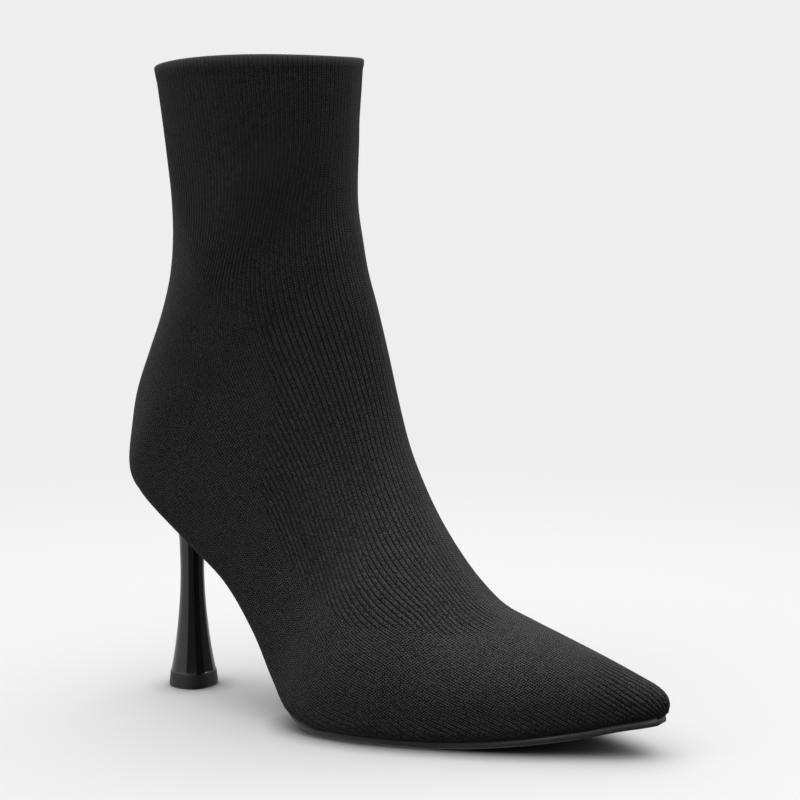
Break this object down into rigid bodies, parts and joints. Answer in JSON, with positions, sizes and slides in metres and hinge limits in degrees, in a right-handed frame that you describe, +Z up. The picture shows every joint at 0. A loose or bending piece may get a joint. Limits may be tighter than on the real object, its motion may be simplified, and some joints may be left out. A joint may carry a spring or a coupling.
{
  "type": "sock boot",
  "caption": "Black ribbed knit sock boot for the right foot, with a pointed toe, a thin outsole and a high glossy heel that flares to its tip.",
  "frame": {"origin": "centre of the heel tip's underside, on the floor", "axes": "+X from the heel to the toe, +Y to the medial side, +Z up the shaft"},
  "size_m": [0.2393, 0.0811, 0.2589],
  "materials": {
    "knit": "matte ribbed knit",
    "lining": "matte woven",
    "sole": "satin",
    "heel_gloss": "high gloss lacquer",
    "heel_tip": "matte"
  },
  "bodies": {
    "root": {"upper": "knit", "insole": "lining", "outsole": "sole", "heel": "heel_gloss", "top_piece": "heel_tip"}
  },
  "joints": []
}
